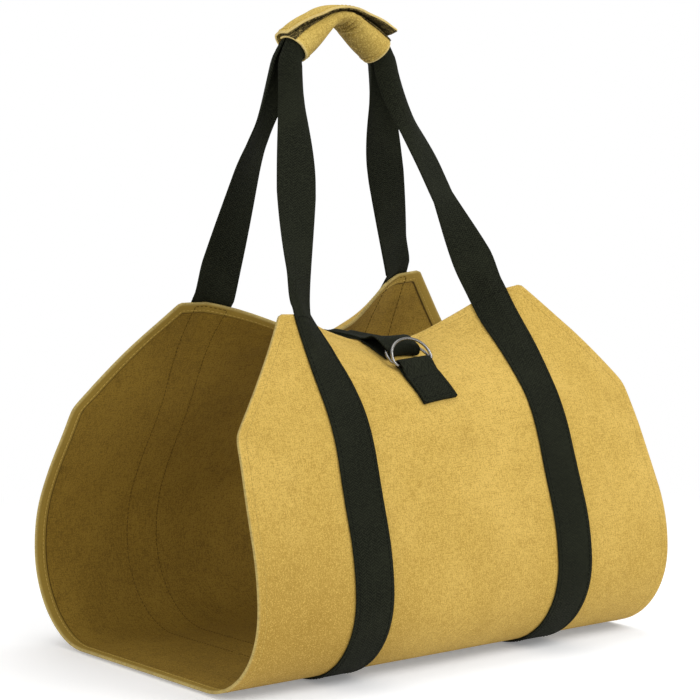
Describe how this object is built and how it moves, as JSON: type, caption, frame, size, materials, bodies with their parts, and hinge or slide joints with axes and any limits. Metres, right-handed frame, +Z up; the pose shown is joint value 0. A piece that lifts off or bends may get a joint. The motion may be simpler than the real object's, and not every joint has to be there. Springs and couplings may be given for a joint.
{
  "type": "log carrier",
  "caption": "Open sling of tan waxed canvas for carrying firewood, with black webbing loops, a wrapped canvas grip and a strap closure on metal D-rings.",
  "frame": {"origin": "middle of the footprint, on the surface that the webbing under the base stands on", "axes": "+Z up towards the grip, +X along the sling from one open end to the other, the ringed front wall faces -Y"},
  "size_m": [0.4598, 0.37, 0.5832],
  "materials": {
    "canvas": "waxed mustard tan canvas, mottled, darker inside",
    "webbing": "near-black ribbed webbing",
    "hook_and_loop": "dark fuzzy hook-and-loop tape",
    "ring_metal": "polished nickel wire"
  },
  "bodies": {
    "root": {"canvas_body": "canvas", "front_webbing": "webbing", "back_webbing": "webbing", "grip_wrap": "canvas", "loop_tape": "hook_and_loop", "hook_tape": "hook_and_loop", "closure_strap": "webbing", "ring_tab": "webbing", "d_ring_lower": "ring_metal", "d_ring_upper": "ring_metal"}
  },
  "joints": []
}
